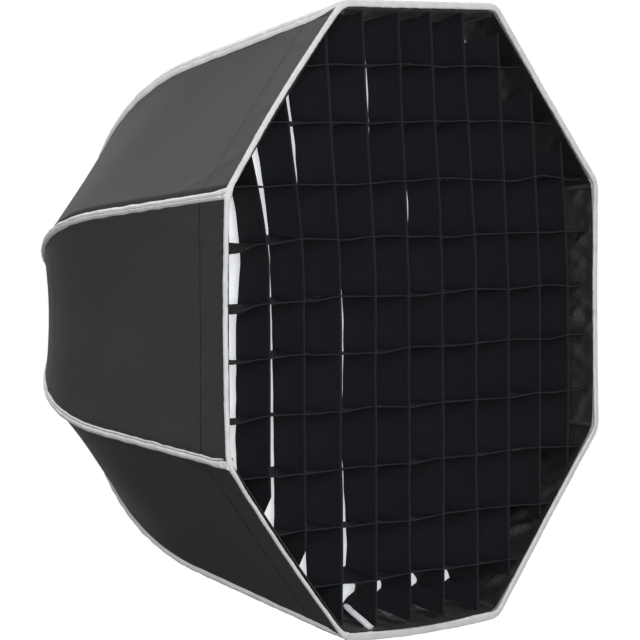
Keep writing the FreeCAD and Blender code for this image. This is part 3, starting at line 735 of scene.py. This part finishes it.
# how far each level strip hangs below its line, from the lowest up, where its rear edge rides up on an
# upright strip, counted from the left, and by how much, and how much lower its left end is
LEVEL_DROP = [2, 3, 3, 2.5, 2.5, 5, 4, 6, 4.5, 4]
REAR_RISE = {0: (4, 9), 1: (3, 6), 2: (2, 8), 3: (2, 4), 4: (2, 5), 5: (2, 4), 6: (2, 4)}
LEFT_DROOP = {3: 2.5, 4: 3, 5: 6.5, 6: 7.5, 7: 2}
# how far the lower front corner of an upright strip is drawn up
CORNER_LIFT = {0: 24, 1: 24}
# chance unevenness of the strips' edges, at their crossings and between them
slack = np.random.RandomState(7)
FRONT_JOG = slack.uniform(-0.6, 0.6, (GRID_COUNT, GRID_COUNT)) * MM
FRONT_BOW = slack.uniform(-0.8, 0.8, (GRID_COUNT, GRID_COUNT + 1)) * MM
LEVEL_JOG = slack.uniform(-2.0, 2.0, (GRID_COUNT, GRID_COUNT + 2)) * MM
LEVEL_KINK = slack.uniform(-4.0, 7.0, (GRID_COUNT, GRID_COUNT + 2)) * MM
LEVEL_REAR_JOG = slack.uniform(-3.6, 0.2, (GRID_COUNT, GRID_COUNT + 2)) * MM
LEVEL_SAG = slack.uniform(-1.2, 0.5, (GRID_COUNT, GRID_COUNT + 1)) * MM
LEVEL_REAR_SAG = slack.uniform(-5.0, 1.2, (GRID_COUNT, GRID_COUNT + 1)) * MM
LEVEL_SKEW = slack.uniform(-0.8, 0.8, (GRID_COUNT, GRID_COUNT + 1))
UPRIGHT_LINES = LINES + np.array(UPRIGHT_SHIFT) * MM
LEVEL_LINES = LINES - np.array(LEVEL_DROP) * MM


def band_apothem(q):
    return BAND_FRONT + (BAND_REAR - BAND_FRONT) * q


def reach(place, apothem):
    """Half the height of the eight-sided opening at a place across it."""
    return np.minimum(apothem, math.sqrt(2) * apothem - np.abs(place))


def cell_of(place):
    """Which cell a place is in, and its share of the way across it."""
    turn = place / GRID_PITCH + (GRID_COUNT + 1) / 2
    cell = np.clip(np.floor(turn), 0, GRID_COUNT).astype(int)
    return cell, np.clip(turn - cell, 0, 1)


def upright_x(i, z, q):
    """Sideways place of upright strip i at height z, q of the way from its front edge to its rear."""
    bottom_of_lean = 0.055 if i < 2 else 0.03
    head = reach(UPRIGHT_LINES[i], BAND_REAR)
    lean = -LEAN[i] * MM * np.clip((z - bottom_of_lean) / (head - bottom_of_lean), 0, 1.1) ** 1.3
    cell, share = cell_of(z)
    front = np.interp(z, LINES, FRONT_JOG[i]) + FRONT_BOW[i][cell] * np.sin(math.pi * share)
    rows = (np.arange(GRID_COUNT + 1) - GRID_COUNT / 2) * GRID_PITCH
    rear = np.interp(z, rows, np.array(REAR_SLACK[i][::-1]) * MM) + 0.4 * MM * ripple(400 + i, z / 0.03)
    swing = FOOT_SWING.get(i, [0] * len(FOOT_HEIGHTS))
    foot = np.interp(z, np.array(FOOT_HEIGHTS) * MM, np.array(swing) * MM)
    return UPRIGHT_LINES[i] + lean + front * (1 - q) + (rear + foot) * q


def level_z(j, x, q):
    """Height of level strip j at x, q of the way from its front edge to its rear."""
    cell, share = cell_of(x)
    knots = np.concatenate([[-BAND_FRONT], UPRIGHT_LINES, [BAND_FRONT]])
    kinked = np.maximum.accumulate(knots + LEVEL_KINK[j] * np.array([0] + [1] * GRID_COUNT + [0]))
    skewed = share + LEVEL_SKEW[j][cell] * share * (1 - share)
    hump = 1 - np.abs(2 * skewed - 1) ** 1.4
    front = np.interp(x, kinked, LEVEL_JOG[j]) + LEVEL_SAG[j][cell] * hump
    rear = np.interp(x, knots, LEVEL_REAR_JOG[j]) + LEVEL_REAR_SAG[j][cell] * hump
    peak, rise = REAR_RISE.get(j, (0, 0))
    rear = rear + rise * MM * np.clip(1 - np.abs(x - knots[peak]) / 0.055, 0, 1)
    droop = LEFT_DROOP.get(j, 0) * MM * smooth((-0.222 - x) / 0.04)
    wander = 0.15 * MM * ripple(450 + j, x / 0.02, q * 1.5)
    return LEVEL_LINES[j] - droop + front * (1 - q) + rear * q + wander


@lru_cache(maxsize=None)
def crossing_point(i, j, q):
    """Where upright strip i and level strip j meet, at depth q."""
    x, z = UPRIGHT_LINES[i], LEVEL_LINES[j]
    for _ in range(6):
        x = float(upright_x(i, np.array(z), q))
        z = float(level_z(j, np.array(x), q))
    return x, z


def recess(z):
    """The grid's top lies a little deeper in the opening."""
    return 0.003 * smooth(z / 0.2)


# shares of a strip's depth, with its thicker hem at the front
DEPTHS = np.array([0, 0.02, 0.055, 0.075, 0.2, 0.35, 0.5, 0.65, 0.8, 0.93, 1.0])
SLOT = np.searchsorted(DEPTHS, 0.5)
HALF_THICK = np.interp(DEPTHS, [0, 0.055, 0.075, 0.93, 1.0], [0.55, 0.6, 0.32, 0.32, 0.5]) * MM
UPRIGHT_SLOT, LEVEL_SLOT = 0.36 * MM, 0.6 * MM     # half the width of the slots
END_GAP = 0.9 * MM         # between a strip's end and the band


def strip_rows(crossings, low, high, gap, steps=9):
    """Places along a strip, with a pair of rows at each crossing, and the rows its slots lie behind."""
    knots = [low]
    for crossing in crossings:
        knots += [crossing - gap, crossing + gap]
    knots.append(high)
    rows, slots = [low], []
    for n in range(len(knots) - 1):
        count = steps if n % 2 == 0 else 1
        if n % 2:
            slots.append(len(rows) - 1)
        rows += [knots[n] + (knots[n + 1] - knots[n]) * (m + 1) / count for m in range(count)]
    return np.array(rows), slots


def make_strip(index, upright):
    """One cloth strip of the grid with a hem along its front edge, slit half-way where others cross it."""
    line = (UPRIGHT_LINES if upright else LEVEL_LINES)[index]
    others = LEVEL_LINES if upright else UPRIGHT_LINES
    inner = reach(line, BAND_REAR) - 0.004
    crossing = [n for n in range(GRID_COUNT) if abs(others[n]) < inner]
    lattice, slots = [], []
    for q in DEPTHS:
        at_ends = [upright_x(index, np.array(side * inner), q) if upright else line for side in (-1, 1)]
        down, up = (float(reach(place, band_apothem(q)) - END_GAP) for place in at_ends)
        low = -down
        if upright:
            low += CORNER_LIFT.get(index, 0) * MM * max(0.0, 1 - q / 0.3)
            places = [crossing_point(index, n, float(q))[1] for n in crossing]
        else:
            places = [crossing_point(n, index, float(q))[0] for n in crossing]
        rows, slots = strip_rows(places, low, up, UPRIGHT_SLOT if upright else LEVEL_SLOT)
        lattice.append(rows)
    along = np.array(lattice).T
    depth = np.broadcast_to(DEPTHS, along.shape)
    thick = np.broadcast_to(HALF_THICK, along.shape)
    bend = upright_x if upright else level_z
    across = np.stack([bend(index, along[:, n], DEPTHS[n]) for n in range(len(DEPTHS))], 1)
    height = along if upright else across
    y = FRONT_Y + GRID_RECESS + recess(height) + depth * GRID_HEIGHT
    sides = []
    for sign in (-1, 1):
        wide = across + sign * thick
        sides.append(np.stack([wide, y, along] if upright else [along, y, wide], -1))
    gone = np.zeros((along.shape[0] - 1, along.shape[1] - 1), bool)
    for row in slots:
        gone[row, slice(SLOT, None) if upright else slice(SLOT)] = True
    uv = np.stack([along, depth * GRID_HEIGHT], -1)
    kind = "upright" if upright else "level"
    strip = cloth(f"grid_{kind}_{index + 1}", sides[0], sides[1], uv, [MATERIALS["grid"]], gone)
    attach(strip, "grid")


def make_band():
    """The grid's outer band: eight sides of wrinkled cloth along the inside of the shell."""
    per_side, radius = 64, 0.016
    turn = radius * math.tan(HALF_STEP)
    depth = GRID_RECESS + GRID_HEIGHT - BAND_START
    q = np.linspace(0, 1, 15)
    front, rear = BAND_FRONT, BAND_REAR
    points, inner_points, uvs = [], [], []
    travelled = 0.0
    for k in SIDES:
        middle = rib_azimuth(k) + HALF_STEP
        share = np.linspace(-1, 1, per_side + 1)[:-1]
        for c in share:
            apothem = front + (rear - front) * q
            half = apothem * math.tan(HALF_STEP)
            w = c * half
            near = np.clip((np.abs(w) - (half - turn)) / turn, 0, 1)
            drop = radius * (1 / math.cos(HALF_STEP) - 1) * near ** 2
            place = travelled + (c + 1) * front * math.tan(HALF_STEP)
            fold = np.clip(ripple(500, (place + 1.1 * q * GRID_HEIGHT) / 0.030 + 0 * q, q * 0.8), 0, 1) ** 1.3
            fold = fold + 0.3 * ripple(510, (place - 0.9 * q * GRID_HEIGHT) / 0.018 + 0 * q, q)
            wrinkle = 3.4 * MM * fold * np.sin(math.pi * q) ** 0.7 * (1 - near)
            r = apothem - drop - wrinkle + BOW[k] * MM * (1 - c * c) * (1 - q)
            y = FRONT_Y + BAND_START + q * depth
            out, side = radial(np.array(middle)), tangential(np.array(middle))
            points.append(r[:, None] * out + w[:, None] * side + y[:, None] * REARWARD)
            thick = np.where(q < 0.08, 1.2, 0.7) * MM
            inner_points.append((r - thick)[:, None] * out + w[:, None] * side + y[:, None] * REARWARD)
            uvs.append(np.stack([place + 0 * q, q * GRID_HEIGHT + 0.0022], -1))
        travelled += 2 * front * math.tan(HALF_STEP)
    for row in (points, inner_points):
        row.append(row[0].copy())
    uvs.append(uvs[-1] + np.array([0.003, 0]))
    inside, outside, uv = (np.array(rows) for rows in (inner_points, points, uvs))
    band = cloth("grid_outer_band", inside, outside, uv, [MATERIALS["band"]])
    weld(band)
    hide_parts("grid_band", "grid_vertical_strips", "grid_horizontal_strips")
    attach(band, "grid")


def make_diffuser():
    """The white inner front cloth, drawn into small folds along its edge."""
    rings, spokes = 46, 28 * len(SIDES)
    apothem = DIFFUSER_APOTHEM
    angle = np.linspace(0, TAU, spokes + 1)
    turn = (angle + HALF_STEP) % (2 * HALF_STEP) - HALF_STEP
    edge = np.minimum(apothem / np.cos(turn), DIFFUSER_CORNER)
    share = np.linspace(0.004, 1, rings)[:, None]
    r = share * edge
    x, z = r * np.cos(angle), r * np.sin(angle)
    bulge = 0.004 * (1 - share ** 2)
    pucker = 0.9 * MM * ripple(600, angle * apothem / 0.016, share * 0.6) * smooth((share - 0.75) / 0.2)
    broad = 0.8 * MM * ripple(610, x / 0.12, z / 0.12) * (1 - share ** 4)
    y = FRONT_Y + DIFFUSER_DEPTH + 0.0008 + bulge + np.abs(pucker) + np.maximum(broad, -0.3 * MM) + 0.3 * MM
    top = np.stack([x, y, z], -1)
    bottom = top + 0.0006 * REARWARD
    sheet = cloth("diffuser_cloth_painted_glow", top, bottom, np.stack([x, z], -1), [MATERIALS["diffuser"]])
    weld(sheet)
    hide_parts("front_diffuser")
    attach(sheet, "diffuser")


def make_tab():
    """A short rolled webbing tab on the lower left of the grid's band."""
    line = np.array([(-0.0748, -0.3412, -0.2524), (-0.0744, -0.3465, -0.2568), (-0.0735, -0.3525, -0.2612),
                     (-0.0726, -0.3590, -0.2655), (-0.0719, -0.3640, -0.2696), (-0.0715, -0.3672, -0.2716)])
    t = np.linspace(0, len(line) - 1, 40)
    centres = np.stack([np.interp(t, np.arange(len(line)), line[:, n]) for n in range(3)], 1)
    for _ in range(6):
        centres[1:-1] = (centres[:-2] + 2 * centres[1:-1] + centres[2:]) / 4
    run = np.gradient(centres, axis=0)
    run /= np.linalg.norm(run, axis=1)[:, None]
    across = np.cross(run, np.array([0.0, 0.0, 1.0]))
    across /= np.linalg.norm(across, axis=1)[:, None]
    outward = np.cross(across, run)
    outline = rounded([(-3.1, -1.4), (-3.5, 0.0), (-3.0, 1.6), (-1.6, 2.4), (0.2, 2.1), (1.9, 2.4),
                       (3.1, 1.3), (3.4, -0.2), (2.4, -1.8), (0.0, -2.2)], 30) * MM
    sections = np.repeat(outline[None], len(centres), 0)
    swell = 1 - 0.25 * np.exp(-3 * t) + 0.05 * ripple(700, t / 1.3)
    sections *= swell[:, None, None]
    tab = sweep("pull_tab", centres, across, outward, sections, MATERIALS["tab"])
    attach(tab, "grid")


# ---------------------------------------------------------------- finishes of the CAD parts
def dress_cad():
    finishes = {
        "speed_ring": moulding("ring_moulding", (0.016, 0.016, 0.017), 0.48),
        "rear_cover": moulding("cover_moulding", (0.022, 0.022, 0.024), 0.42),
        "rib_root": moulding("root_moulding", (0.02, 0.02, 0.021), 0.5),
        "release_button": moulding("button_moulding", (0.30, 0.035, 0.02), 0.4),
        "runner_ring": moulding("runner_moulding", (0.024, 0.024, 0.026), 0.46),
        "bayonet_collar": metal("mount_alloy", (0.62, 0.63, 0.65), 0.3),
        "guide_rods": metal("rod_steel", (0.68, 0.68, 0.69), 0.22, stretch=(1, 0.05, 1)),
        "guide_rod_nuts": metal("nut_steel", (0.5, 0.5, 0.5), 0.35),
        "button_spring": metal("spring_steel", (0.45, 0.45, 0.46), 0.3),
        "rib_rod": glass_fibre(),
        "strut": metal("strut_steel", (0.55, 0.55, 0.56), 0.32),
        "other": metal("pin_steel", (0.6, 0.6, 0.61), 0.28),
    }
    for name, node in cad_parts.items():
        known = (key for key in finishes if name.startswith(key) and not name.startswith("strut_pins"))
        node.data.materials.clear()
        node.data.materials.append(finishes[next(known, "other")])


def make_spring(side, steel):
    """A button's coil spring, wound from its fixed end along the button, carried with the runner."""
    low, high = (np.array(corner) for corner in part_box(f"button_spring_{side}"))
    sign = 1 if side == "right" else -1
    turns, wire, fixed, press = 4, 0.4 * MM, 66.6 * MM, 2.5 * MM
    length = high[0] - low[0] - 2 * wire
    coil = (high[2] - low[2]) / 2 - wire
    share = np.linspace(0, 1, 32 * turns + 1)
    turn = share * turns * TAU
    out = np.stack([np.zeros_like(turn), np.cos(turn), np.sin(turn)], -1)
    centres = coil * out
    centres[:, 0] = sign * (fixed + share * length)
    centres[:, 1] += (low[1] + high[1]) / 2
    centres[:, 2] += (low[2] + high[2]) / 2
    travel = np.gradient(centres, axis=0)
    travel /= np.linalg.norm(travel, axis=1, keepdims=True)
    phase = np.linspace(0, TAU, 10, endpoint=False)
    ring = wire * np.stack([np.cos(phase), np.sin(phase)], -1)
    sections = np.broadcast_to(ring, (len(share),) + ring.shape)
    spring = sweep(f"coil_spring_{side}", centres, np.cross(travel, out), out, sections, steel)
    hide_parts(f"button_spring_{side}")
    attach(spring, "runner")
    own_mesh(spring)


# ---------------------------------------------------------------- stage, camera and light
def make_floor():
    size, height = 30.0, -0.72
    mesh = bpy.data.meshes.new("floor")
    corners = [(-size, -size, height), (size, -size, height), (size, size, height), (-size, size, height)]
    mesh.from_pydata(corners, [], [(0, 1, 2, 3)])
    floor = bpy.data.objects.new("floor", mesh)
    bpy.context.scene.collection.objects.link(floor)
    look = Look("floor_paper", (0.88, 0.88, 0.88), 0.9, Specular_IOR_Level=0.1, Emission_Color=(1, 1, 1, 1),
                Emission_Strength=0.56)
    look.mottle(0.8, (0.90, 0.90, 0.90))
    mesh.materials.append(look.material)
    floor.visible_diffuse = False
    floor.visible_glossy = False


def make_camera():
    """Looks at the object from its left front, a little above it."""
    azimuth, elevation, roll = (math.radians(a) for a in (-52.575, 2.591, -0.272))
    shift_right, shift_up, distance = 0.0901, 0.0033, 4.1525
    level = math.cos(elevation)
    back = Vector((math.sin(azimuth) * level, -math.cos(azimuth) * level, math.sin(elevation)))
    right = (-back).cross(Vector((0, 0, 1))).normalized()
    up = right.cross(-back)
    turned = math.cos(roll) * right + math.sin(roll) * up
    upright = -math.sin(roll) * right + math.cos(roll) * up
    place = Vector((0, FRONT_Y, 0)) - shift_right * turned - shift_up * upright + distance * back
    data = bpy.data.cameras.new("camera")
    data.sensor_width = 36
    data.lens = 263.33
    data.clip_start, data.clip_end = 0.1, 200
    camera = bpy.data.objects.new("camera", data)
    bpy.context.scene.collection.objects.link(camera)
    rotation = Matrix((turned, upright, back)).transposed()
    camera.matrix_world = Matrix.Translation(place) @ rotation.to_4x4()
    bpy.context.scene.camera = camera


def area_light(name, place, target, size, power):
    data = bpy.data.lights.new(name, "AREA")
    data.shape = "RECTANGLE"
    data.size, data.size_y = size
    data.energy = power
    light = bpy.data.objects.new(name, data)
    bpy.context.scene.collection.objects.link(light)
    light.location = place
    light.rotation_mode = "QUATERNION"
    light.rotation_quaternion = (Vector(target) - Vector(place)).to_track_quat("-Z", "Y")


def make_light():
    world = bpy.data.worlds.new("studio")
    bpy.context.scene.world = world
    world.use_nodes = True
    tree = world.node_tree
    tree.nodes.clear()
    seen, lit = (tree.nodes.new("ShaderNodeBackground") for _ in range(2))
    seen.inputs["Strength"].default_value = 1.02
    seen.inputs["Color"].default_value = (1, 1, 1, 1)
    lit.inputs["Color"].default_value = (0.97, 0.985, 1, 1)
    where = tree.nodes.new("ShaderNodeTexCoord")
    split = tree.nodes.new("ShaderNodeSeparateXYZ")
    rise = tree.nodes.new("ShaderNodeMapRange")
    for socket, value in (("From Min", -0.6), ("From Max", 0.6), ("To Min", 0.085), ("To Max", 0.50)):
        rise.inputs[socket].default_value = value
    path = tree.nodes.new("ShaderNodeLightPath")
    mix = tree.nodes.new("ShaderNodeMixShader")
    output = tree.nodes.new("ShaderNodeOutputWorld")
    tree.links.new(where.outputs["Generated"], split.inputs[0])
    tree.links.new(split.outputs["Z"], rise.inputs["Value"])
    # a paler backdrop to the right of the object and behind it
    toward = tree.nodes.new("ShaderNodeVectorMath")
    toward.operation = "DOT_PRODUCT"
    toward.inputs[1].default_value = (0.79, 0.61, 0.0)
    glow = tree.nodes.new("ShaderNodeMapRange")
    for socket, value in (("From Min", 0.8), ("From Max", 1.0), ("To Min", 0.0), ("To Max", 0.95)):
        glow.inputs[socket].default_value = value
    both = tree.nodes.new("ShaderNodeMath")
    tree.links.new(where.outputs["Generated"], toward.inputs[0])
    tree.links.new(toward.outputs["Value"], glow.inputs["Value"])
    tree.links.new(rise.outputs[0], both.inputs[0])
    tree.links.new(glow.outputs[0], both.inputs[1])
    tree.links.new(both.outputs[0], lit.inputs["Strength"])
    tree.links.new(path.outputs["Is Camera Ray"], mix.inputs[0])
    tree.links.new(lit.outputs[0], mix.inputs[1])
    tree.links.new(seen.outputs[0], mix.inputs[2])
    tree.links.new(mix.outputs[0], output.inputs[0])
    area_light("overhead", (0.3, 0.6, 2.2), (0, -0.1, 0), (2.4, 2.4), 35)
    area_light("front_left", (-2.6, -2.6, 0.6), (0, -0.3, 0), (1.6, 1.6), 56)
    area_light("low_left", (-2.6, -2.6, -0.36), (0, -0.3, 0), (1.6, 0.6), 14)
    area_light("front_right", (1.2, -3.4, 0.3), (0, -0.3, 0), (1.6, 1.2), 24)
    area_light("behind", (0.8, 2.4, 1.5), (0, 0, 0), (2.4, 1.6), 7)
    view = bpy.context.scene.view_settings
    view.view_transform = "Standard"
    view.look = "None"


# ---------------------------------------------------------------- build
make_camera()
dress_cad()
seam_tapes = {k: make_seam_tape(k) for k in SIDES}
for k in SIDES:
    for hand in (-1, 1):
        panel, flat, area = make_half_panel(k, hand)
        rim = make_rim_tape(k, hand)
make_band()
for index in range(GRID_COUNT):
    make_strip(index, True)
    make_strip(index, False)
make_diffuser()
make_tab()
for side in ("right", "left"):
    make_spring(side, metal("coil_steel", (0.45, 0.45, 0.46), 0.3))
make_floor()
make_light()
